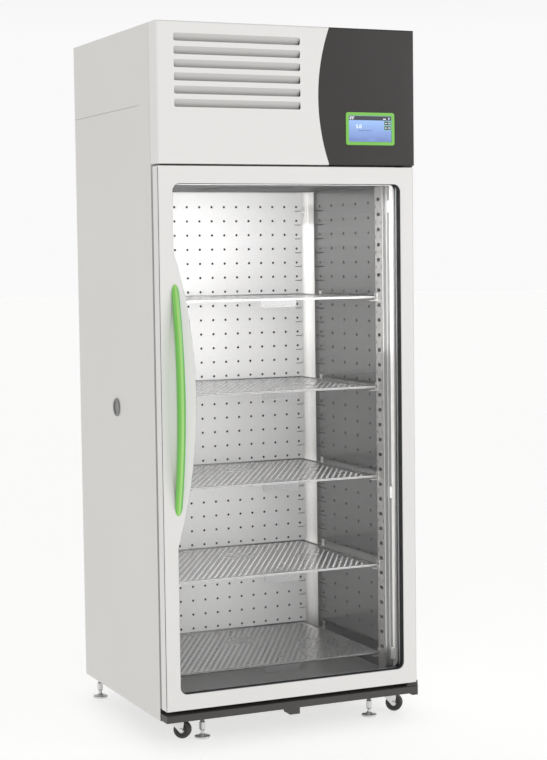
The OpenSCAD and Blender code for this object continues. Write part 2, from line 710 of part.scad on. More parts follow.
// Bow in side view, with tapered ends in front view, lying on the door at both ends
module handle_grip() color(green) {
    half_l = handle_len / 2;
    thick = 16;
    shoulder_r = handle_w / 2 - 1.5;
    tip_r = 6;
    in_l = half_l - 36;
    in_s = handle_reach - thick;
    out_r = (half_l * half_l + handle_reach * handle_reach) / (2 * handle_reach);
    in_r = (in_l * in_l + in_s * in_s) / (2 * in_s);
    intersection() {
        along_x([handle_x - handle_w, handle_x + handle_w]) intersection() {
            difference() {
                translate([door_y - handle_reach + out_r, handle_z]) circle(out_r, $fn = 720);
                translate([door_y - in_s + in_r, handle_z]) circle(in_r, $fn = 720);
            }
            translate([door_y - 100, handle_z - half_l]) square([100, handle_len]);
        }
        along_y([door_y - 100, door_y]) hull() {
            translate([handle_x, handle_z]) circle(handle_w / 2);
            for (s = [-1, 1]) {
                translate([handle_x, handle_z + s * (half_l - 24)]) circle(shoulder_r);
                translate([handle_x, handle_z + s * (half_l - tip_r)]) circle(tip_r);
            }
        }
    }
}

// Angle under the door and bush block in its top, each with a bore for a hinge pin
module door_hinge_plates() color(black) difference() {
    union() {
        slab([hinge_x - 18, half_w + side_proud], [door_y + 6, door_y + 34],
             [door_z0 - 6.2, door_z0 - 0.2]);
        slab([half_w + 0.1, half_w + side_proud], [door_y + 6, door_y + 34],
             [door_z0 - 6.2, door_z0 + 3]);
        slab([hinge_x - 14, half_w - 1.6], [door_y + 8, door_y + 32],
             [door_z1 - 24, door_z1 - 1.6]);
    }
    for (z = [door_z0 - 10, door_z1 - 30])
        translate([hinge_x, hinge_y, z]) cylinder(r = pin_r + fit, h = 40);
}

// Two brackets fixed to the cabinet, with the pins on which the door turns
module hinge_brackets() color(black) {
    z = sill_z[1] + gap;
    slab([hinge_x - 22, half_w + side_proud], [door_y + 5, front_y], [z, z + 6]);
    slab([hinge_x - 22, half_w + side_proud], [front_y - 5, front_y - 0.1], [z, z + 11]);
    slab([half_w, half_w + side_proud], [door_y + 5, front_y - 0.1], [base_z - 4, z + 6]);
    slab([hinge_x - 4, half_w + side_proud], [door_y + 5, front_y - 0.1],
         [base_z - 4, sill_z[0] - gap]);
    translate([hinge_x, hinge_y, z]) cylinder(r = pin_r, h = 27);
    slab([hinge_x - 22, half_w], [door_y + 6, front_y], [door_z1 + 1.2, door_z1 + 5.2]);
    translate([hinge_x, hinge_y, door_z1 - 22]) cylinder(r = pin_r, h = 26);
}

// ---------------------------------------------------------------- power entry

module power_inlet() color(black) difference() {
    union() {
        along_y([rear_y, rear_y + rear_proud])
            rounded([inlet_x - 30, inlet_x + 74], [inlet_z - 17, inlet_z + 17], 4);
        slab([inlet_x - 24, inlet_x + 68], [rear_y - 30, rear_y + 1], [inlet_z - 14, inlet_z + 14]);
    }
    along_y([rear_y - 16, rear_y + 20])
        rounded([inlet_x - 16, inlet_x + 16], [inlet_z - 11, inlet_z + 11], 3);
    slab([rocker_x - 8, rocker_x + 8], [rear_y - 14, rear_y + 20], [inlet_z - 12, inlet_z + 12]);
}

// Rocker: a sector that tilts about the X axis through its middle
module power_switch() color([0.75, 0.12, 0.10])
    along_x([rocker_x - 7.5, rocker_x + 7.5]) intersection() {
        translate([rear_y - 4, inlet_z]) circle(11);
        union() {
            translate([rear_y - 12, inlet_z - 9]) square([14, 18]);
            polygon([[rear_y - 4, inlet_z - 11], [rear_y + 3, inlet_z - 11],
                     [rear_y + 1.5, inlet_z], [rear_y + 3, inlet_z + 11], [rear_y - 4, inlet_z + 11]]);
        }
    }

// ---------------------------------------------------------------- output

base_frame();
base_rail();
left_side_panel();
right_side_panel();
back_panel();
upper_casing();
machine_deck();
throat_frame();
insulation();
chamber_liner();
ceiling_panel();
floor_panel();
duct_panels();
shelf_standards();
shelf(1);  // shelf_1
shelf(2);  // shelf_2
shelf(3);  // shelf_3
shelf(4);  // shelf_4
shelf(5);  // shelf_5
shelf_clips();
temperature_sensor();
jamb_clips();
port_tube();
evaporator_coil();
circulation_motor();
compressor();
condenser_coil();
condenser_shroud();
refrigerant_lines();
control_board();
fascia_panel();
fascia_dark_panel();
touchscreen_bezel();
display_screen();
hinge_brackets();
power_inlet();
door_frame();
door_back_frame();
glazing_seal();
glass_panes();
glass_spacer();
door_gasket();
handle_grip();
door_hinge_plates();
circulation_fan();
condenser_fan();
port_plug();
power_switch();
caster_fork(-1, front_caster);  // caster_fork_front_left
caster_fork(1, front_caster);  // caster_fork_front_right
caster_fork(-1, rear_caster);  // caster_fork_rear_left
caster_fork(1, rear_caster);  // caster_fork_rear_right
caster_wheel(-1, front_caster);  // caster_wheel_front_left
caster_wheel(1, front_caster);  // caster_wheel_front_right
caster_wheel(-1, rear_caster);  // caster_wheel_rear_left
caster_wheel(1, rear_caster);  // caster_wheel_rear_right
foot(-1, front_foot);  // foot_front_left
foot(1, front_foot);  // foot_front_right
foot(-1, rear_foot);  // foot_rear_left
foot(1, rear_foot);  // foot_rear_right
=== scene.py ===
"""Looks of the laboratory incubator: detailed sheets, trims and materials around its CAD frame."""

import json
import math

import bmesh
import bpy
from mathutils import Matrix, Vector


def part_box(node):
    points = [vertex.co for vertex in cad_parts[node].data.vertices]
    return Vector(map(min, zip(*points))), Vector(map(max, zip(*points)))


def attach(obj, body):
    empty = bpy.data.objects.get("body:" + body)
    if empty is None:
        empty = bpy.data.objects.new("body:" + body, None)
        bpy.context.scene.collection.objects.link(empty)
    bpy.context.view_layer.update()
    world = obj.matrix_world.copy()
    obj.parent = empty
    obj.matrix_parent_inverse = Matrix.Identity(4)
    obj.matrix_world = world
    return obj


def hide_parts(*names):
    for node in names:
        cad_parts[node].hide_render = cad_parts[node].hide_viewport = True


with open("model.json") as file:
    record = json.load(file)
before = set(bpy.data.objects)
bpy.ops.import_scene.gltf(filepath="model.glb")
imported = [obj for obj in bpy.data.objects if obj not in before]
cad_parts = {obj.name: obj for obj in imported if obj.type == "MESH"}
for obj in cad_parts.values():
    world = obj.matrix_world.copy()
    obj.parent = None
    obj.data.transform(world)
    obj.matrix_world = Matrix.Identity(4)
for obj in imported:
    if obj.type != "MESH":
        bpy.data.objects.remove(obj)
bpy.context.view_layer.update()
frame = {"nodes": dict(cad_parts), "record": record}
BODY_OF = {node: body for body, nodes in frame["record"]["behaviour"]["bodies"].items() for node in nodes}
SLOT_OF = {part["node"]: part["material_slot"] for part in frame["record"]["subparts"]}
MM = 0.001

# ------------------------------------------------------------------ camera

CAMERA_AT = Vector((-2.1501, -4.9762, 1.3817))
CAMERA_TURN = math.radians(24.27)
CAMERA_DIP = math.radians(3.99)
CAMERA_ROLL = math.radians(-0.75)
CAMERA_LENS = 85.49


def make_camera():
    """The photographer's place: left of the machine, a little below its middle, with a slight roll."""
    ahead = Vector((
        math.sin(CAMERA_TURN) * math.cos(CAMERA_DIP),
        math.cos(CAMERA_TURN) * math.cos(CAMERA_DIP),
        -math.sin(CAMERA_DIP),
    ))
    level = Vector((math.cos(CAMERA_TURN), -math.sin(CAMERA_TURN), 0))
    upright = level.cross(ahead)
    right = level * math.cos(CAMERA_ROLL) + upright * math.sin(CAMERA_ROLL)
    up = upright * math.cos(CAMERA_ROLL) - level * math.sin(CAMERA_ROLL)
    data = bpy.data.cameras.new("camera")
    data.lens = CAMERA_LENS
    data.sensor_width = 36
    camera = bpy.data.objects.new("camera", data)
    camera.matrix_world = Matrix.Translation(CAMERA_AT) @ Matrix((right, up, -ahead)).transposed().to_4x4()
    bpy.context.scene.collection.objects.link(camera)
    bpy.context.scene.camera = camera


make_camera()

# ------------------------------------------------------------------ materials


class Graph:
    """A material's node tree, with short calls to add and join nodes."""

    def __init__(self, name):
        self.material = bpy.data.materials.new(name)
        self.material.use_nodes = True
        self.tree = self.material.node_tree
        self.shader = self.tree.nodes["Principled BSDF"]
        self.output = self.tree.nodes["Material Output"]
        coords = self.tree.nodes.new("ShaderNodeTexCoord")
        self.place = coords.outputs["Object"]

    def node(self, kind, **inputs):
        """A node, its inputs set to values or joined to other nodes' sockets."""
        made = self.tree.nodes.new(kind)
        for name, value in inputs.items():
            self.feed(made.inputs[name.replace("_", " ")], value)
        return made

    def feed(self, socket, value):
        if isinstance(value, bpy.types.NodeSocket):
            self.tree.links.new(value, socket)
        else:
            socket.default_value = value

    def noise(self, scale, detail=3.0, stretch=(1, 1, 1)):
        """Noise in the object's own metres, drawn out along the axes where stretch is small."""
        mapping = self.node("ShaderNodeMapping", Vector=self.place, Scale=stretch)
        made = self.node("ShaderNodeTexNoise", Vector=mapping.outputs["Vector"], Scale=scale)
        made.inputs["Detail"].default_value = detail
        return made.outputs["Fac"]

    def span(self, value, low, high, start=0.3, end=0.7):
        """Value, from start to end, taken to the range from low to high."""
        made = self.node("ShaderNodeMapRange", Value=value)
        for name, number in (("From Min", start), ("From Max", end), ("To Min", low), ("To Max", high)):
            made.inputs[name].default_value = number
        return made.outputs["Result"]

    def between(self, factor, first, second):
        """A colour from first to second."""
        made = self.tree.nodes.new("ShaderNodeMix")
        made.data_type = "RGBA"
        colours = [socket for socket in made.inputs if socket.type == "RGBA"]
        self.feed(made.inputs[0], factor)
        self.feed(colours[0], first)
        self.feed(colours[1], second)
        return [socket for socket in made.outputs if socket.type == "RGBA"][0]

    def bump(self, height, distance):
        made = self.node("ShaderNodeBump", Height=height)
        made.inputs["Distance"].default_value = distance
        made.inputs["Strength"].default_value = 1.0
        return made.outputs["Normal"]


def rgba(colour, gain=1.0):
    return (*[min(1.0, part * gain) for part in colour[:3]], 1.0)


def finish_graph(graph, colour, vary, cloud, rough, grain, bump_mm, metal=0.0):
    """The parts that all opaque materials share: clouded colour, uneven gloss and a fine relief."""
    wide = graph.noise(cloud, 2.0)
    graph.feed(graph.shader.inputs["Base Color"],
               graph.between(graph.span(wide, 0, 1), rgba(colour, 1 - vary), rgba(colour, 1 + vary)))
    graph.feed(graph.shader.inputs["Roughness"], graph.span(grain, rough[0], rough[1]))
    graph.feed(graph.shader.inputs["Normal"], graph.bump(grain, bump_mm * MM))
    graph.shader.inputs["Metallic"].default_value = metal
    return graph.material


def coating(name, colour, rough=(0.34, 0.42), peel=300, bump_mm=0.008, vary=0.012, shine=0.35):
    """Powder coat: the faint orange peel of baked paint."""
    cloud = 2.2
    graph = Graph(name)
    graph.shader.inputs["Specular IOR Level"].default_value = shine
    return finish_graph(graph, colour, vary, cloud, rough, graph.noise(peel, 4.0), bump_mm)


def moulding(name, colour, rough=(0.35, 0.5), grain=900, bump_mm=0.01, vary=0.04, cloud=9):
    """Moulded plastic or rubber with a fine grain."""
    graph = Graph(name)
    return finish_graph(graph, colour, vary, cloud, rough, graph.noise(grain, 3.0), bump_mm)


def brushed(name, colour, stretch, metal=1.0):
    """Brushed sheet: fine streaks drawn out along the axis where stretch is small."""
    vary, cloud, rough, bump_mm = 0.03, 1.6, (0.30, 0.36), 0.0004
    graph = Graph(name)
    streaks = graph.noise(150, 3.0, stretch)
    return finish_graph(graph, colour, vary, cloud, rough, streaks, bump_mm, metal)


def satin(name, colour, rough, metal):
    """Polished sheet whose gloss and tone drift softly from place to place, without any relief."""
    vary, cloud, bump_mm = 0.03, 1.6, 0.0
    graph = Graph(name)
    drift = graph.noise(9, 2.0, (1, 1, 0.3))
    return finish_graph(graph, colour, vary, cloud, rough, drift, bump_mm, metal)


def cast(name, colour, rough=(0.12, 0.3), grain=240, bump_mm=0.01, vary=0.06, cloud=40):
    """Plated or bare metal without a brushing direction."""
    graph = Graph(name)
    return finish_graph(graph, colour, vary, cloud, rough, graph.noise(grain, 4.0), bump_mm, metal=1.0)


def glass_material():
    """Flat float glass: light passes straight through, and the face mirrors more at a slant."""
    graph = Graph("glass")
    clear = graph.node("ShaderNodeBsdfTransparent", Color=(0.988, 0.988, 0.988, 1))
    gloss = graph.node("ShaderNodeBsdfGlossy")
    smears = graph.noise(6, 4.0, (1, 1, 0.4))
    graph.feed(gloss.inputs["Roughness"], graph.span(smears, 0.0, 0.03))
    fresnel = graph.node("ShaderNodeFresnel", IOR=1.2)
    mix = graph.tree.nodes.new("ShaderNodeMixShader")
    graph.feed(mix.inputs[0], fresnel.outputs["Fac"])
    graph.feed(mix.inputs[1], clear.outputs["BSDF"])
    graph.feed(mix.inputs[2], gloss.outputs["BSDF"])
    graph.feed(graph.output.inputs["Surface"], mix.outputs["Shader"])
    return graph.material


def display_material(low_z, high_z):
    """A lit screen whose blue deepens towards its lower edge."""
    graph = Graph("screen_blue")
    split = graph.node("ShaderNodeSeparateXYZ", Vector=graph.place)
    height = graph.span(split.outputs["Z"], 0, 1, low_z, high_z)
    blue = graph.between(height, (0.08, 0.10, 0.27, 1), (0.33, 0.50, 0.80, 1))
    shade = graph.span(graph.noise(14, 2.0, (1, 1, 3)), 0, 0.45)
    mixed = graph.between(shade, blue, (0.20, 0.32, 0.62, 1))
    graph.feed(graph.shader.inputs["Base Color"], mixed)
    graph.feed(graph.shader.inputs["Emission Color"], mixed)
    graph.shader.inputs["Emission Strength"].default_value = 0.55
    graph.feed(graph.shader.inputs["Roughness"], graph.span(graph.noise(500, 2.0), 0.12, 0.2))
    return graph.material


UPRIGHT = (1, 1, 0.02)
ACROSS = (0.02, 1, 1)
LOOK = {  # one finish for each material slot of the record
    "white_paint": coating("white_paint", (0.80, 0.79, 0.775)),
    "grey_paint": coating("grey_paint", (0.73, 0.715, 0.69)),
    "black_paint": coating("black_paint", (0.068, 0.064, 0.061), (0.4, 0.55), vary=0.08),
    "dark_panel": coating("dark_panel", (0.045, 0.042, 0.041), (0.30, 0.38), 700, 0.006,
                          vary=0.04, shine=0.22),
    "green_plastic": moulding("green_plastic", (0.21, 0.56, 0.09), (0.16, 0.26), 300, 0.004),
    "stainless": brushed("stainless", (0.78, 0.775, 0.765), UPRIGHT, metal=0.75),
    "galvanised": cast("galvanised", (0.62, 0.63, 0.64), (0.3, 0.5), 60, 0.02, 0.12, 25),
    "zinc_plate": cast("zinc_plate", (0.70, 0.70, 0.685), (0.26, 0.4), 300, 0.006),
    "chrome": cast("chrome", (0.62, 0.61, 0.60), (0.08, 0.16), 500, 0.002, 0.03),
    "aluminium": brushed("aluminium", (0.82, 0.83, 0.84), ACROSS),
    "black_rubber": moulding("black_rubber", (0.022, 0.022, 0.024), (0.5, 0.7), 700, 0.02, 0.2, 14),
    "tyre_rubber": moulding("tyre_rubber", (0.055, 0.052, 0.05), (0.5, 0.68), 600, 0.03, 0.2, 40),
    "black_plastic": moulding("black_plastic", (0.02, 0.02, 0.021), (0.35, 0.5), 1100, 0.015, 0.15),
    "grey_plastic": moulding("grey_plastic", (0.23, 0.23, 0.225), (0.35, 0.5), 1100, 0.012),
    "white_plastic": moulding("white_plastic", (0.80, 0.80, 0.78), (0.3, 0.4), 800, 0.008, 0.02),
    "red_plastic": moulding("red_plastic", (0.50, 0.02, 0.015), (0.2, 0.3), 500, 0.006),
    "board": moulding("board", (0.02, 0.15, 0.06), (0.25, 0.4), 260, 0.03, 0.2, 30),
    "screen": display_material(*[corner.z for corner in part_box("touchscreen_bezel")]),
    "glass": glass_material(),
    "foam": moulding("foam", (0.62, 0.58, 0.46), (0.7, 0.9), 180, 0.3, 0.1, 20),
    "copper": cast("copper", (0.80, 0.42, 0.26), (0.2, 0.4), 200, 0.01, 0.12, 30),
    "cast_black": moulding("cast_black", (0.02, 0.02, 0.022), (0.25, 0.4), 220, 0.02, 0.2, 20),
}

# The sheets in the chamber are one stainless steel, a little differently polished; their tones are painted
# light and shade, with painted shade darkest on the ceiling and the side sheets.
BACK_STEEL = satin("back_steel", (0.84, 0.835, 0.83), (0.46, 0.52), 0.25)
SHELF_STEEL = satin("shelf_steel", (0.50, 0.497, 0.495), (0.22, 0.28), 0.9)
RIM_STEEL = satin("rim_steel", (0.32, 0.316, 0.312), (0.24, 0.28), 0.9)
TAB_STEEL = satin("tab_steel", (0.15, 0.149, 0.148), (0.42, 0.5), 0.2)
# Painted shade: the side sheets stand in shade and are painted dark for it.
SHADED_SIDE_STEEL = satin("shaded_side_steel", (0.22, 0.219, 0.218), (0.18, 0.22), 0.9)
WEB_STEEL = satin("web_steel", (0.42, 0.41, 0.40), (0.28, 0.34), 0.7)
STRIP_STEEL = satin("strip_steel", (0.25, 0.25, 0.248), (0.28, 0.34), 0.6)
# Painted shade: a near-black steel for the shade under the ceiling.
CEILING_PAINTED_SHADE = satin("ceiling_painted_shade", (0.04, 0.04, 0.04), (0.5, 0.6), 0.2)
# Painted shade: a dark sheet for the shade in the ducts behind the perforated sheets.
DUCT_PAINTED_SHADE = cast("duct_painted_shade", (0.05, 0.05, 0.05), (0.5, 0.7), 60, 0.01)
PAD_STEEL = satin("pad_steel", (0.74, 0.735, 0.73), (0.16, 0.22), 0.55)
STEM_STEEL = cast("stem_steel", (0.30, 0.295, 0.29), (0.2, 0.34), 400, 0.004, 0.1)
# Painted shade: a darker grey for the shaded faces inside the louvres.
LOUVRE_PAINTED_SHADE = coating("louvre_painted_shade", (0.60, 0.588, 0.575))

# ------------------------------------------------------------------ mesh tools


class Shape:
    """Vertices and faces gathered for one piece, in the frame's metres."""

    def __init__(self):
        self.verts = []
        self.faces = []

    def add(self, verts, faces):
        start = len(self.verts)
        self.verts += [Vector(v) for v in verts]
        self.faces += [[start + i for i in face] for face in faces]
        return self

    def slab(self, low, high):
        """A box between two corners."""
        along_x, along_y, along_z = zip(low, high)
        corners = [(x, y, z) for x in along_x for y in along_y for z in along_z]
        faces = [(0, 1, 3, 2), (4, 6, 7, 5), (0, 4, 5, 1), (2, 3, 7, 6), (0, 2, 6, 4), (1, 5, 7, 3)]
        return self.add(corners, faces)

    def skin(self, rings, closed=True):
        """Faces between rings of points. Closed rings meet end to end, the others get end caps."""
        count = len(rings[0])
        verts = [point for ring in rings for point in ring]
        faces = []
        for a in range(len(rings) - (0 if closed else 1)):
            b = (a + 1) % len(rings)
            for i in range(count):
                j = (i + 1) % count
                faces.append((a * count + i, a * count + j, b * count + j, b * count + i))
        if not closed:
            faces.append(tuple(range(count)))
            faces.append(tuple(reversed(range(len(verts) - count, len(verts)))))
        return self.add(verts, faces)

    def lathe(self, base, axis, outline, sides):
        """A turned body: outline holds (distance along the axis, radius)."""
        turn = Vector((0, 0, 1)).rotation_difference(Vector(axis)).to_matrix()
        rings = []
        for along, radius in outline:
            angles = [2 * math.pi * k / sides for k in range(sides)]
            ring = [Vector((radius * math.cos(t), radius * math.sin(t), along)) for t in angles]
            rings.append([Vector(base) + turn @ point for point in ring])
        return self.skin(rings, closed=False)

    def picture_frame(self, low, high, profile):
        """A mitred frame round an opening in X and Z: profile holds (distance inwards, y)."""
        rings = []
        for sx, sz in ((0, 0), (1, 0), (1, 1), (0, 1)):
            ring = []
            for inset, y in profile:
                x = high[0] - inset if sx else low[0] + inset
                z = high[2] - inset if sz else low[2] + inset
                ring.append((x, y, z))
            rings.append(ring)
        return self.skin(rings)

    def mesh(self, name):
        """The gathered faces as they are."""
        made = bpy.data.meshes.new(name)
        made.from_pydata(self.verts, [], self.faces)
        return made

    def piece(self, name, body, slot, replaces=(), bevel=0.0, material=None, smooth=35):
        """The gathered mesh as an object that rides on a body."""
        mesh = self.mesh(name)
        tidy = bmesh.new()
        tidy.from_mesh(mesh)
        bmesh.ops.recalc_face_normals(tidy, faces=tidy.faces)
        tidy.to_mesh(mesh)
        tidy.free()
        return place_mesh(name, mesh, body, slot, replaces, bevel, material=material, smooth=smooth)


def place_mesh(name, mesh, body, slot, replaces=(), bevel=0.0, segments=2, material=None, smooth=35,
               shift=(0, 0, 0)):
    """An object with this mesh, its finish and its body."""
    made = bpy.data.objects.new(name, mesh)
    made.location = shift
    bpy.context.scene.collection.objects.link(made)
    if not mesh.materials:
        mesh.materials.append(material or LOOK[slot])
    mesh.shade_smooth()
    mesh.set_sharp_from_angle(angle=math.radians(smooth))
    if bevel:
        rounding = made.modifiers.new("rounding", "BEVEL")
        rounding.width = bevel
        rounding.segments = segments
        rounding.limit_method = "ANGLE"
        rounding.angle_limit = math.radians(40)
        rounding.harden_normals = True
    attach(made, body)
    if replaces:
        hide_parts(*replaces)
    return made


def soften(node, width, segments=2):
    """A copy of a CAD node with its sharp edges rounded, which stands for the node."""
    cleaned = bmesh.new()
    cleaned.from_mesh(frame["nodes"][node].data)
    bmesh.ops.remove_doubles(cleaned, verts=cleaned.verts, dist=1e-6)
    bmesh.ops.dissolve_limit(cleaned, angle_limit=math.radians(0.4),
                             verts=cleaned.verts, edges=cleaned.edges)
    bmesh.ops.triangulate(cleaned, faces=[face for face in cleaned.faces if len(face.verts) > 4])
    verts = [vert.co.copy() for vert in cleaned.verts]
    index = {vert: i for i, vert in enumerate(cleaned.verts)}
    faces = [[index[vert] for vert in face.verts] for face in cleaned.faces]
    cleaned.free()
    mesh = bpy.data.meshes.new(node + "_softened")
    mesh.from_pydata(verts, [], faces)
    return place_mesh(node + "_softened", mesh, BODY_OF[node], SLOT_OF[node], [node], width, segments)


class Sheet:
    """Thin sheet metal made of cells that share their vertices, so that its holes leave no cracks."""

    def __init__(self, to_space, thickness):
        self.to_space = to_space
        self.thickness = thickness
        self.index = {}
        self.points = []
        self.cells = []

    def vertex(self, u, v):
        key = (round(u * 1e6), round(v * 1e6))
        if key not in self.index:
            self.index[key] = len(self.points)
            self.points.append((u, v))
        return self.index[key]

    def plain(self, u0, u1, v0, v1):
        corners = rectangle(u0, u1, v0, v1)[::2]
        self.cells.append([self.vertex(*point) for point in corners])

    def holed(self, u0, u1, v0, v1, outline):
        """A cell with a hole. The outline starts towards (u0, v0), and has 8 points or a multiple."""
        border = [self.vertex(*point) for point in rectangle(u0, u1, v0, v1)]
        inner = [self.vertex(*point) for point in outline]
        step = len(inner) // 8
        for i in range(8):
            arc = [inner[(i * step + k) % len(inner)] for k in range(step, -1, -1)]
            self.cells.append([border[i], border[(i + 1) % 8], *arc])

    def holed_and_slit(self, u0, u1, v0, v1, hole, hole_v, slit, at_start):
        """A cell with a round hole above a clip's slit."""
        middle = hole_v - SPLIT_DROP
        self.holed(u0, u1, middle, v1, hole)
        self.holed(u0, u1, v0, middle, corner_slit(*slit, hole_v - SLIT_DROP, at_start))

    def shape(self):
        """Both faces of the sheet, and the walls round its edges and holes."""
        count = len(self.points)
        front = [Vector(self.to_space(u, v, 0.0)) for u, v in self.points]
        back = [Vector(self.to_space(u, v, self.thickness)) for u, v in self.points]
        faces = list(self.cells)
        faces += [[count + i for i in reversed(cell)] for cell in self.cells]
        edges = dict.fromkeys(pair for cell in self.cells for pair in zip(cell, cell[1:] + cell[:1]))
        for a, b in edges:
            if (b, a) not in edges:
                faces.append([b, a, count + a, count + b])
        return Shape().add(front + back, faces)


def round_hole(u, v, radius):
    """A circle's points, from the one towards the corner of its cell where an outline starts."""
    sides, start = 16, math.radians(225)
    angles = [start + 2 * math.pi * k / sides for k in range(sides)]
    return [(u + radius * math.cos(t), v + radius * math.sin(t)) for t in angles]


def rectangle(u0, u1, v0, v1):
    """A rectangle's four corners, and the middles of its sides between them."""
    um, vm = (u0 + u1) / 2, (v0 + v1) / 2
    return [(u0, v0), (um, v0), (u1, v0), (u1, vm), (u1, v1), (um, v1), (u0, v1), (u0, vm)]


def corner_slit(u0, u1, v0, at_start):
    """An L-shaped slit for a shelf clip, its short leg at one end."""
    v1, v2 = v0 + SLIT_T, v0 + SLIT_RISE
    um, vm = (u0 + u1) / 2, (v0 + v2) / 2
    if at_start:
        inner = u0 + SLIT_T
        turn = [(u1, v1), (inner, v1), (inner, v2), (u0, v2), (u0, vm)]
    else:
        inner = u1 - SLIT_T
        turn = [(u1, vm), (u1, v2), (inner, v2), (inner, v1), (u0, v1)]
    return [(u0, v0), (um, v0), (u1, v0), *turn]


# ------------------------------------------------------------------ chamber

SHELVES = [f"shelf_{i}" for i in range(1, 6)]
SHELF_T = 1.5 * MM
RIM_RISE = 3 * MM
SHELF_Z = [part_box(node)[1].z - RIM_RISE for node in SHELVES]  # the perforated plates' tops
CHAMBER_LOW, CHAMBER_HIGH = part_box("duct_panels")
STEEL_T = 1.2 * MM
WEB_X = 330 * MM  # inner face of the front uprights

SLOT_PITCH = 44.4 * MM  # one row of holes and slits for each place that a shelf can hang at
ROWS = int((CHAMBER_HIGH.z - SHELF_Z[0]) / SLOT_PITCH)
HOLE_RISE = 13.4 * MM  # a row of holes above the plate of a shelf
HOLE_R = 3.9 * MM
HOLE_PITCH = 41.9 * MM
CELL_RISE = 6 * MM  # a hole above the middle of its cell
SPLIT_DROP = 6.5 * MM  # from a hole down to the line between it and its slit
SLIT_DROP = 14.2 * MM  # from a hole down to the foot of its slit
SLIT_T = 2.0 * MM
SLIT_RISE = 6.8 * MM


def row_edges(offset=HOLE_RISE - CELL_RISE):
    """Heights of the lines between the rows of cells, whose middles lie offset above a shelf."""
    first = SHELF_Z[0] + offset - SLOT_PITCH / 2
    return [first + SLOT_PITCH * k for k in range(ROWS + 1)]


def make_shelf_mesh():
    """Perforated sheet with round holes on a 60 degree pattern."""
    low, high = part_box(SHELVES[0])
    pitch, hole_r, margin = 19 * MM, 5.2 * MM, 4 * MM
    row = pitch * math.sqrt(3) / 2
    z = SHELF_Z[0]
    sheet = Sheet(lambda u, v, t: (u, v, z - t), SHELF_T)
    v0, v1 = low.y + margin, high.y - margin
    rows = int((v1 - v0) / row)
    first = (v0 + v1) / 2 - rows * row / 2
    half = int((high.x - margin) / pitch) * pitch
    for j in range(rows):
        a, b = first + j * row, first + (j + 1) * row
        inset = pitch / 2 if j % 2 else 0
        if inset:
            sheet.plain(-half, -half + inset, a, b)
            sheet.plain(half - inset, half, a, b)
        for i in range(round((2 * half - 2 * inset) / pitch)):
            u = -half + inset + i * pitch
            sheet.holed(u, u + pitch, a, b, round_hole(u + pitch / 2, (a + b) / 2, hole_r))
    shape = sheet.shape()
    for x0, x1, y0, y1 in (
        (low.x, -half, low.y, high.y), (half, high.x, low.y, high.y),
        (-half, half, low.y, first), (-half, half, first + rows * row, high.y),
    ):
        shape.slab((x0, y0, z - SHELF_T), (x1, y1, z))
    return shape.mesh("shelf_plate")


def make_shelf_rim_mesh():
    """The folded rim round a shelf: its profile holds (distance inwards, height) in millimetres."""
    low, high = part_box(SHELVES[0])
    z = SHELF_Z[0]
    profile = [(0.6, -3.6), (2.0, -3.2), (1.4, -1.4), (1.4, 0.6), (1.8, 1.6), (3.0, 1.8), (4.0, 0.6),
               (4.0, 2.0), (3.2, 3), (1.2, 3), (0.3, 2.4), (0, 1.4), (0, -2.6)]
    rings = []
    for sx, sy in ((0, 0), (1, 0), (1, 1), (0, 1)):
        ring = []
        for inset, rise in profile:
            x = high.x - inset * MM if sx else low.x + inset * MM
            y = high.y - inset * MM if sy else low.y + inset * MM
            ring.append((x, y, z + rise * MM))
        rings.append(ring)
    return Shape().skin(rings).mesh("shelf_rim")


def make_shelf_tab_mesh():
    """The label tab that hangs from a shelf's front, its lower corners rounded."""
    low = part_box(SHELVES[0])[0]
    left, right, corner = -50 * MM, 63 * MM, 6 * MM
    front, rear = low.y + 0.3 * MM, low.y + 1.5 * MM
    top = SHELF_Z[0] - 2 * MM
    arc = [math.pi / 2 * k / 6 for k in range(7)]
    outline = [(right, top), (left, top)]
    outline += [(left + corner * (1 - math.cos(t)), low.z + corner * (1 - math.sin(t))) for t in arc]
    outline += [(right - corner * (1 - math.sin(t)), low.z + corner * (1 - math.cos(t))) for t in arc]
    rings = [[(x, y, z) for x, z in outline] for y in (front, rear)]
    return Shape().skin(rings, closed=False).mesh("shelf_tab")


def make_shelves():
    plate, rim, tab = make_shelf_mesh(), make_shelf_rim_mesh(), make_shelf_tab_mesh()
    for node, z in zip(SHELVES, SHELF_Z):
        shift = (0, 0, z - SHELF_Z[0])
        place_mesh(node + "_plate", plate, "cabinet", "stainless", [node],
                   material=SHELF_STEEL, shift=shift)
        place_mesh(node + "_rim", rim, "cabinet", "stainless",
                   bevel=0.3 * MM, material=RIM_STEEL, shift=shift)
        place_mesh(node + "_tab", tab, "cabinet", "stainless", material=TAB_STEEL, shift=shift)


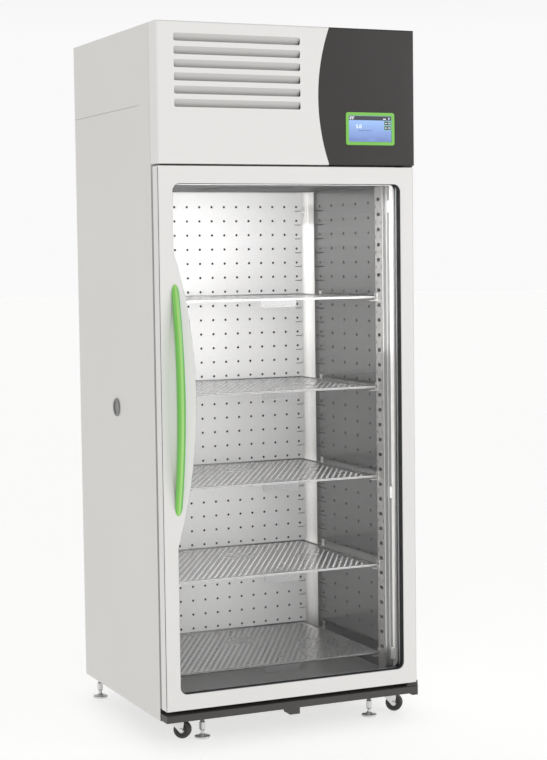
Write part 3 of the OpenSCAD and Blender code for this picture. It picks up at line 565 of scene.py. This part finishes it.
def make_back_duct():
    """Rear duct sheet: a grid of round holes, and slits for the clips near both ends."""
    low, high = CHAMBER_LOW, CHAMBER_HIGH
    front, half, columns = back_duct_y(), 332 * MM, 16
    slit_near, slit_far = half - 23.5 * MM, half - 1.2 * MM
    sheet = Sheet(lambda u, v, t: (u, front + t, v), STEEL_T)
    rows = row_edges()
    lines = [-half] + [(k - columns / 2) * HOLE_PITCH for k in range(1, columns)] + [half]
    plain_ends(sheet, lines, rows, low.z, high.z)
    for a, b in zip(rows, rows[1:]):
        hole_z = (a + b) / 2 + CELL_RISE
        for i, (u0, u1) in enumerate(zip(lines, lines[1:])):
            hole = round_hole((i - (columns - 1) / 2) * HOLE_PITCH, hole_z, HOLE_R)
            if i == 0:
                sheet.holed_and_slit(u0, u1, a, b, hole, hole_z, (-slit_far, -slit_near), True)
            elif i == columns - 1:
                sheet.holed_and_slit(u0, u1, a, b, hole, hole_z, (slit_near, slit_far), False)
            else:
                sheet.holed(u0, u1, a, b, hole)
    shape = sheet.shape()
    inset, behind, thickness, fold = 2 * MM, 6 * MM, 0.5 * MM, 14 * MM
    # A dark sheet behind the holes: painted shade of the duct behind them.
    shade_sheet = Shape().slab((inset - half, front + behind, low.z),
                           (half - inset, front + behind + thickness, high.z))
    shade_sheet.piece("back_duct_shade_sheet", "cabinet", "stainless", material=DUCT_PAINTED_SHADE)
    for s in (-1, 1):
        x0, x1 = sorted((s * half, s * (half - STEEL_T)))
        shape.slab((x0, front + STEEL_T, low.z), (x1, front + fold, high.z))
    shape.piece("back_duct_sheet", "cabinet", "stainless", ["duct_panels"], smooth=20, material=BACK_STEEL)


def plain_ends(sheet, lines, rows, bottom, top):
    """The plain strips under the first row of cells and above the last one."""
    for a, b in ((bottom, rows[0]), (rows[-1], top)):
        for u0, u1 in zip(lines, lines[1:]):
            um = (u0 + u1) / 2
            points = [(u0, a), (u1, a), (u1, b), (um, b), (u0, b)]
            if a > bottom:
                points = [(u0, a), (um, a), (u1, a), (u1, b), (u0, b)]
            sheet.cells.append([sheet.vertex(*point) for point in points])


def back_duct_y():
    """Front face of the rear duct sheet, just behind the shelves."""
    clearance = 3 * MM
    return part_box(SHELVES[0])[1].y + clearance


def make_side_duct(s):
    """Side duct sheet: five columns of holes, and slits near its folded rear edge."""
    low, high = CHAMBER_LOW, CHAMBER_HIGH
    side = "right" if s > 0 else "left"
    fold, gap, pitch, columns = 3.5 * MM, 0.3 * MM, 2 * HOLE_PITCH, 5
    face = high.x - fold - 0.1 * MM
    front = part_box("shelf_standards")[1].y + gap
    rear = back_duct_y() - 33 * MM
    last = rear - 43 * MM
    slit = (rear - 67 * MM, rear - 8 * MM)
    sheet = Sheet(lambda u, v, t: (s * (face + t), u, v), STEEL_T)
    rows = row_edges()
    centres = [last - pitch * k for k in reversed(range(columns))]
    lines = [front] + [c + pitch / 2 for c in centres[:-1]] + [rear]
    plain_ends(sheet, lines, rows, low.z, high.z)
    for a, b in zip(rows, rows[1:]):
        hole_z = (a + b) / 2 + CELL_RISE
        for centre, u0, u1 in zip(centres, lines, lines[1:]):
            hole = round_hole(centre, hole_z, HOLE_R)
            if centre == last:
                sheet.holed_and_slit(u0, u1, a, b, hole, hole_z, slit, False)
            else:
                sheet.holed(u0, u1, a, b, hole)
    shape = sheet.shape()
    inset, behind, thickness = 2 * MM, 3 * MM, 0.4 * MM
    x0, x1 = sorted((s * (face + behind), s * (face + behind + thickness)))
    # A dark sheet behind the holes: painted shade of the duct behind them.
    shade_sheet = Shape().slab((x0, front + inset, low.z), (x1, rear - inset, high.z))
    shade_sheet.piece("side_duct_shade_sheet_" + side, "cabinet", "stainless", material=DUCT_PAINTED_SHADE)
    x0, x1 = sorted((s * face, s * (face + fold)))
    shape.slab((x0, rear - STEEL_T, low.z), (x1, rear, high.z))
    # The side sheet carries the painted shade of the side walls.
    shape.piece("side_duct_sheet_" + side, "cabinet", "stainless", smooth=20, material=SHADED_SIDE_STEEL)


def make_standard(s):
    """Front upright: a flange towards the door, and a web with three columns of slots."""
    low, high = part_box("shelf_standards")
    side = "right" if s > 0 else "left"
    front, rear = low.y, high.y
    sheet = Sheet(lambda u, v, t: (s * (WEB_X + t), u, v), STEEL_T)
    lines = [front, front + 10 * MM, front + 32 * MM, rear]
    square_rise, square_margin, square_half = 20.5 * MM, 1.5 * MM, 5 * MM
    small_half_u, small_half_v = 2 * MM, 4.5 * MM
    squares = row_edges(square_rise)
    smalls = row_edges(square_rise - SLOT_PITCH / 2)
    for i, (u0, u1) in enumerate(zip(lines, lines[1:])):
        rows = squares if i == 1 else smalls
        for a, b in zip(rows, rows[1:]):
            um, vm = (u0 + u1) / 2, (a + b) / 2
            if i == 1:
                hole = rectangle(u0 + square_margin, u1 - square_margin, vm - square_half, vm + square_half)
            else:
                hole = rectangle(um - small_half_u, um + small_half_u, vm - small_half_v, vm + small_half_v)
            sheet.holed(u0, u1, a, b, hole)
        for a, b in ((low.z, rows[0]), (rows[-1], high.z)):
            sheet.plain(u0, u1, a, b)
    shape = sheet.shape()
    x0, x1 = sorted((s * (WEB_X + 0.2 * MM), s * high.x))
    shape.slab((x0, front, low.z), (x1, front + STEEL_T, high.z))
    fold = 15 * MM
    x0, x1 = sorted((s * WEB_X, s * (WEB_X + fold)))
    shape.slab((x0, rear - STEEL_T, low.z), (x1, rear, high.z))
    replaced = ["shelf_standards"] if s > 0 else []
    shape.piece("shelf_standard_" + side, "cabinet", "stainless", replaced, smooth=20, material=WEB_STEEL)
    make_jamb_strip(s, side, WEB_X, high.x, front, low.z, high.z)


def make_jamb_strip(s, side, inner, outer, front, bottom, top):
    """Ribbed strip that covers the upright's flange: rolled edges, a raised band and two grooves."""
    width = outer - inner
    steps = [(0.00, 0.2), (0.00, 2.6), (0.04, 3.4), (0.12, 3.4), (0.17, 2.2), (0.46, 1.8), (0.50, 3.0),
             (0.58, 3.6), (0.64, 3.0), (0.68, 1.6), (0.84, 1.6), (0.88, 2.8), (0.96, 2.8), (1.00, 2.0),
             (1.00, 0.2)]
    section = [(s * (inner + share * width), front - out * MM) for share, out in steps]
    rings = [[(x, y, z) for x, y in section] for z in (bottom, top)]
    Shape().skin(rings, closed=False).piece(
        "jamb_strip_" + side, "cabinet", "stainless", smooth=30, material=STRIP_STEEL)


def make_fan_guard():
    """Perforated guard under the fan's opening in the ceiling."""
    fan_low, fan_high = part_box("circulation_fan")
    centre_x, centre_y = (fan_low.x + fan_high.x) / 2, (fan_low.y + fan_high.y) / 2
    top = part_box("ceiling_panel")[0].z - 0.4 * MM
    pitch, hole_r, cells = 14 * MM, 4.2 * MM, 16
    starts = [(k - cells / 2) * pitch for k in range(cells)]
    sheet = Sheet(lambda u, v, t: (centre_x + u, centre_y + v, top - t), STEEL_T)
    for v0 in starts:
        for u0 in starts:
            hole = round_hole(u0 + pitch / 2, v0 + pitch / 2, hole_r)
            sheet.holed(u0, u0 + pitch, v0, v0 + pitch, hole)
    # The guard takes the ceiling's painted shade.
    sheet.shape().piece("fan_guard", "cabinet", "stainless", smooth=20, material=CEILING_PAINTED_SHADE)


def make_chamber():
    # Painted shade: the ceiling panel gets the near-black steel of the shaded ceiling.
    frame["nodes"]["ceiling_panel"].data.materials[0] = CEILING_PAINTED_SHADE
    make_fan_guard()
    make_shelves()
    make_back_duct()
    for s in (-1, 1):
        make_side_duct(s)
        make_standard(s)


# ------------------------------------------------------------------ door


def make_handle():
    """A bowed grip of nearly even width, with a crowned section and round ends."""
    low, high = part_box("handle_grip")
    centre_x, centre_z = (low.x + high.x) / 2, (low.z + high.z) / 2
    half_l, reach, half_w = (high.z - low.z) / 2, high.y - low.y, (high.x - low.x) / 2
    foot_length, grip_t, thinnest = 36 * MM, 16 * MM, 0.15 * MM
    stations, sides, flat_x, flat_y = 96, 32, 0.7, 0.8
    taper = [(0, half_w), (half_l - 24 * MM, half_w - 1.5 * MM), (half_l - 12 * MM, 8.6 * MM),
             (half_l - 6 * MM, 6.2 * MM), (half_l - 2.4 * MM, 3.8 * MM), (half_l, thinnest)]
    rings = []
    for k in range(stations + 1):
        dz = -half_l * math.cos(math.pi * k / stations)
        out = bow(dz, half_l, reach)
        inside = bow(dz, half_l - foot_length, reach - grip_t)
        wide = along(taper, abs(dz))
        deep = max(thinnest, (out - inside) / 2)
        middle = high.y - (out + inside) / 2
        ring = []
        for i in range(sides):
            t = 2 * math.pi * i / sides
            c, s = math.cos(t), math.sin(t)
            x = wide * math.copysign(abs(c) ** flat_x, c)
            y = deep * math.copysign(abs(s) ** flat_y, s)
            ring.append((centre_x + x, middle - y, centre_z + dz))
        rings.append(ring)
    Shape().skin(rings, closed=False).piece(
        "handle_bow", "door", "green_plastic", ["handle_grip"], smooth=50,
        material=handle_material(centre_x, half_w))


def bow(dz, half_chord, rise):
    """How far an arc over a chord stands out at a distance from its middle."""
    if abs(dz) >= half_chord:
        return 0.0
    radius = (half_chord ** 2 + rise ** 2) / (2 * rise)
    return max(0.0, rise - radius + math.sqrt(radius ** 2 - dz ** 2))


def along(steps, place):
    """The value at a place on a line through (place, value) steps."""
    for (a, first), (b, second) in zip(steps, steps[1:]):
        if place <= b:
            return first + (second - first) * (place - a) / (b - a)
    return steps[-1][1]


def handle_material(centre, half):
    """Translucent green plastic with a painted highlight along its crown and painted shade towards its
    sides, deepest on its inner side.
    """
    # Painted highlight and shade across the grip, from its outer side to its inner side.
    highlight_and_shade_tones = [(0.0, (0.12, 0.42, 0.07)), (0.3, (0.18, 0.55, 0.08)), (0.48, (0.36, 0.66, 0.16)),
             (0.62, (0.42, 0.72, 0.26)), (0.74, (0.16, 0.52, 0.09)), (1.0, (0.03, 0.38, 0.07))]
    graph = Graph("handle_green_painted_highlight")
    split = graph.node("ShaderNodeSeparateXYZ", Vector=graph.place)
    across = graph.span(split.outputs["X"], 0, 1, centre - half, centre + half)
    ramp = graph.node("ShaderNodeValToRGB", Fac=across)
    bands = ramp.color_ramp.elements
    bands[0].position, bands[0].color = highlight_and_shade_tones[0][0], rgba(highlight_and_shade_tones[0][1])
    bands[1].position, bands[1].color = highlight_and_shade_tones[-1][0], rgba(highlight_and_shade_tones[-1][1])
    for position, tone in highlight_and_shade_tones[1:-1]:
        bands.new(position).color = rgba(tone)
    cloud = graph.span(graph.noise(14, 2.0, (1, 1, 0.2)), 0, 0.2)
    graph.feed(graph.shader.inputs["Base Color"],
               graph.between(cloud, ramp.outputs["Color"], (0.20, 0.58, 0.10, 1)))
    graph.feed(graph.shader.inputs["Roughness"], graph.span(graph.noise(260, 2.0), 0.16, 0.24))
    graph.feed(graph.shader.inputs["Normal"], graph.bump(graph.noise(90, 2.0), 0.01 * MM))
    graph.shader.inputs["Coat Weight"].default_value = 0.25
    graph.shader.inputs["Coat Roughness"].default_value = 0.1
    return graph.material


def make_gasket():
    """Magnetic seal with folded bellows: steps hold (millimetres inwards, share of the depth)."""
    low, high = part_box("door_gasket")
    depth = high.y - low.y
    steps = [(0, 0.0), (0.5, 0.12), (2.4, 0.2), (1.0, 0.34), (2.6, 0.48), (0.6, 0.62), (0.2, 0.8),
             (0.5, 0.97), (1.4, 1.0), (11, 1.0), (12.6, 0.94), (13, 0.74), (11.2, 0.6), (13.4, 0.46),
             (11.4, 0.32), (14.5, 0.16), (16, 0.1), (16, 0.0)]
    profile = [(inset * MM, low.y + share * depth) for inset, share in steps]
    Shape().picture_frame(low, high, profile).piece(
        "gasket_bellows", "door", "black_rubber", ["door_gasket"], smooth=50)


def make_door():
    soften("door_frame", 1.6 * MM, 3)
    soften("door_back_frame", 0.8 * MM)
    soften("door_hinge_plates", 0.5 * MM)
    soften("glass_spacer", 0.4 * MM)
    make_handle()
    make_gasket()


# ------------------------------------------------------------------ fascia


def make_screen():
    """What the touchscreen shows: a dark header, digits, a trace and two framed keys."""
    low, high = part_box("touchscreen_bezel")
    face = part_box("display_screen")[0].y
    rim, header_h = 10.2 * MM, 12 * MM
    left, right = low.x + rim, high.x - rim
    bottom, top = low.z + rim, high.z - rim
    dark = moulding("screen_dark", (0.06, 0.06, 0.08), (0.12, 0.2), 400, 0.002)
    white = lit("screen_white", (0.80, 0.86, 0.92), 0.6)
    grey = lit("screen_grey", (0.40, 0.46, 0.52), 0.3)
    green = lit("screen_green", (0.16, 0.50, 0.18), 0.3)

    def plate(name, x, z, material, lift):
        """A flat mark between two places across and two heights, lift millimetres proud of the face."""
        shape = Shape().slab((x[0], face - lift * MM, z[0]), (x[1], face + 0.2 * MM, z[1]))
        shape.piece(name, "cabinet", "screen", material=material)

    def disc(name, x, z, radius, height):
        shape = Shape().lathe((x, face + 0.1 * MM, z), (0, -1, 0), [(0, radius), (height, radius)], 20)
        shape.piece(name, "cabinet", "screen", material=grey)

    plate("screen_header", (left, right), (top - header_h, top), dark, 0.12)
    key_w, key_h, key_pitch, key_rim = 22 * MM, 12 * MM, 13.5 * MM, 1 * MM
    for k in range(2):
        x1 = right - 1 * MM
        x0 = x1 - key_w
        z1 = top - header_h - 1.5 * MM - k * key_pitch
        z0 = z1 - key_h
        plate(f"screen_key_edge_{k}", (x0, x1), (z0, z1), green, 0.12)
        plate(f"screen_key_{k}", (x0 + key_rim, x1 - key_rim), (z0 + key_rim, z1 - key_rim), dark, 0.2)
        plate(f"screen_key_bar_{k}", (x0 + 3 * MM, x0 + 10 * MM), (z1 - 7 * MM, z1 - 5.4 * MM), white, 0.3)
        disc(f"screen_key_icon_{k}", x1 - 5.5 * MM, (z0 + z1) / 2, 3.2 * MM, 0.4 * MM)
    mark_h, header_marks = 2 * MM, ((left + 2 * MM, 9.4, 15), (left + 2 * MM, 4.6, 5),
                                    (left + 9 * MM, 4.6, 5), (right - 26 * MM, 5.2, 9))
    for k, (x, rise, width) in enumerate(header_marks):
        z = top - 14 * MM + rise * MM
        plate(f"screen_mark_{k}", (x, x + width * MM), (z, z + mark_h), white, 0.2)
    disc("screen_bell", right - 7 * MM, top - 6.5 * MM, 3.3 * MM, 0.35 * MM)
    trace = moulding("screen_trace", (0.09, 0.10, 0.30), (0.12, 0.2), 400, 0.002)
    plate("screen_trace", (left + 29 * MM, left + 74 * MM), (bottom + 30.5 * MM, bottom + 31.6 * MM),
          trace, 0.1)
    make_digits((left + 22 * MM, face - 0.15 * MM, bottom + 38 * MM), white)


def make_digits(place, material):
    """The temperature on the screen, in digits that face the front."""
    text = bpy.data.curves.new("screen_digits", "FONT")
    text.body = "5.0"
    text.size = 15 * MM
    text.extrude = 0.1 * MM
    text.materials.append(material)
    digits = bpy.data.objects.new("screen_digits", text)
    digits.matrix_world = Matrix.Translation(place) @ Matrix.Rotation(math.radians(90), 4, "X")
    bpy.context.scene.collection.objects.link(digits)
    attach(digits, "cabinet")


def lit(name, colour, strength):
    """A lit mark on the screen."""
    graph = Graph(name)
    tone = graph.between(graph.span(graph.noise(300, 2.0), 0, 1), rgba(colour, 0.92), rgba(colour, 1.08))
    graph.feed(graph.shader.inputs["Base Color"], tone)
    graph.feed(graph.shader.inputs["Emission Color"], tone)
    graph.shader.inputs["Emission Strength"].default_value = strength
    return graph.material


def shade_louvres(panel):
    """Painted shade: a darker grey on the sloped faces inside the louvres, for the shade in the slots."""
    low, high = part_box("fascia_panel")
    edge, depth = 20 * MM, 1 * MM
    panel.data.materials.append(LOUVRE_PAINTED_SHADE)
    for face in panel.data.polygons:
        x, y, z = face.center
        inside = low.x + edge < x < high.x - edge and low.z + edge < z < high.z - edge
        if inside and y > low.y + depth and face.normal.y < -0.05:
            face.material_index = 1


def make_fascia():
    shade_louvres(soften("fascia_panel", 0.8 * MM))
    soften("fascia_dark_panel", 0.8 * MM)
    soften("touchscreen_bezel", 0.4 * MM)
    make_screen()


# ------------------------------------------------------------------ shell and running gear


def make_shell():
    for node in ("left_side_panel", "right_side_panel", "upper_casing", "back_panel", "base_rail",
                 "base_frame", "hinge_brackets", "throat_frame", "port_tube", "port_plug"):
        soften(node, 0.5 * MM)
    for node in ("power_inlet", "power_switch", "jamb_clips", "temperature_sensor", "shelf_clips"):
        soften(node, 0.3 * MM)
    for node in ("compressor", "condenser_shroud", "machine_deck", "control_board"):
        soften(node, 0.4 * MM)


def make_foot(place):
    """Levelling foot: a pad with a rolled rim, a ball neck, a chamfered hexagon and a threaded stem."""
    node = "foot_" + place
    low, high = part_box(node)
    base = ((low.x + high.x) / 2, (low.y + high.y) / 2, low.z)
    pad_r, height = (high.x - low.x) / 2 / MM, (high.z - low.z) / MM

    def turned(shape, outline, sides):
        """Adds a body turned about the foot's axis: outline holds (height, radius) in millimetres."""
        return shape.lathe(base, (0, 0, 1), [(a * MM, r * MM) for a, r in outline], sides)

    pad = [(0, 0.05), (0, pad_r - 1.6), (0.5, pad_r - 0.5), (1.6, pad_r), (5.6, pad_r),
           (6.8, pad_r - 0.4), (7.6, pad_r - 1.4), (8.0, pad_r - 3), (8.8, 13), (10.4, 9),
           (12.8, 6.8), (16.6, 5.4), (21.6, 5.2), (23.4, 6.4), (24.8, 8), (25.2, 0.05)]
    nut = [(25.2, 0.05), (25.2, 8.2), (26.4, 9.5), (46.6, 9.5), (47.8, 8.2), (47.8, 0.05)]
    shape = turned(turned(Shape(), pad, 40), nut, 6)
    shape.piece(node + "_pad", BODY_OF[node], "chrome", [node], 0.2 * MM, material=PAD_STEEL, smooth=38)
    root_r, crest_r, pitch = 5.2, 5.95, 1.75
    thread = [(47.8, 0.05), (47.8, root_r)]
    for k in range(int((height - 49) / pitch)):
        thread += [(48.2 + pitch * k, root_r), (48.8 + pitch * k, crest_r), (49.4 + pitch * k, crest_r)]
    thread += [(height, root_r), (height, 0.05)]
    stem = turned(Shape(), thread, 24)
    stem.piece(node + "_stem", BODY_OF[node], "chrome", smooth=20, material=STEM_STEEL)


def make_running_gear():
    for place in ("front_left", "front_right", "rear_left", "rear_right"):
        soften("caster_fork_" + place, 0.35 * MM)
        soften("caster_wheel_" + place, 0.5 * MM)
        make_foot(place)


# ------------------------------------------------------------------ studio


def make_floor():
    """A wide pale floor that glows a little, so that the shadow on it stays soft and light."""
    radius, sides = 60.0, 64
    angles = [2 * math.pi * k / sides for k in range(sides)]
    mesh = bpy.data.meshes.new("studio_floor")
    mesh.from_pydata([(0, 0, 0)] + [(radius * math.cos(t), radius * math.sin(t), 0) for t in angles], [],
                     [(0, k + 1, (k + 1) % sides + 1) for k in range(sides)])
    paper = coating("studio_white", (0.50, 0.50, 0.497), (0.6, 0.7), 30, 0.05, 0.01)
    shader = paper.node_tree.nodes["Principled BSDF"]
    shader.inputs["Emission Color"].default_value = (1.0, 1.0, 0.995, 1)
    shader.inputs["Emission Strength"].default_value = 0.68
    mesh.materials.append(paper)
    floor = bpy.data.objects.new("studio_floor", mesh)
    bpy.context.scene.collection.objects.link(floor)


def make_lamps():
    """Two soft boxes in front of the machine, and two just behind the glass that fill the chamber."""
    lamp("key", (-1.8, -4.8, 4.2), (0, 0, 1.1), (2.6, 2.6), 38)
    lamp("fill", (3.3, -3.6, 2.3), (0, 0, 1.0), (1.6, 1.8), 28)
    behind_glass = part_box("glass_panes")[1].y + 8 * MM
    lamp("chamber", (0, behind_glass, 0.89), (0, 1, 0.91), (0.69, 1.37), 5.2)
    lamp("chamber_top", (0, behind_glass, 1.32), (0, 1, 1.36), (0.69, 0.46), 2.4)


def make_room():
    """A bright room, lightest at the horizon, where the floor runs into it."""
    world = bpy.data.worlds.new("room")
    bpy.context.scene.world = world
    world.use_nodes = True
    tree = world.node_tree
    coords = tree.nodes.new("ShaderNodeTexCoord")
    split = tree.nodes.new("ShaderNodeSeparateXYZ")
    ramp = tree.nodes.new("ShaderNodeMapRange")
    tree.links.new(coords.outputs["Generated"], split.inputs["Vector"])
    tree.links.new(split.outputs["Z"], ramp.inputs["Value"])
    for name, number in (("From Min", 0.12), ("From Max", 0.55), ("To Min", 0.95), ("To Max", 0.40)):
        ramp.inputs[name].default_value = number
    tree.nodes["Background"].inputs["Color"].default_value = (1, 1, 1, 1)
    tree.links.new(ramp.outputs["Result"], tree.nodes["Background"].inputs["Strength"])


def make_studio():
    make_floor()
    make_lamps()
    make_room()
    scene = bpy.context.scene
    scene.view_settings.view_transform = "Standard"
    scene.cycles.use_denoising = True
    scene.cycles.max_bounces = 14
    scene.cycles.glossy_bounces = 8
    scene.cycles.transparent_max_bounces = 16


def lamp(name, at, target, size, power):
    data = bpy.data.lights.new(name, "AREA")
    data.shape = "RECTANGLE"
    data.size, data.size_y = size
    data.energy = power
    made = bpy.data.objects.new(name, data)
    made.location = at
    made.rotation_euler = (Vector(target) - Vector(at)).to_track_quat("-Z", "Y").to_euler()
    bpy.context.scene.collection.objects.link(made)


def paint_nodes():
    """The procedural finish of every CAD node that still shows."""
    for node, made in frame["nodes"].items():
        made.data.materials.clear()
        made.data.materials.append(LOOK[SLOT_OF[node]])


paint_nodes()
make_chamber()
make_door()
make_fascia()
make_shell()
make_running_gear()
make_studio()
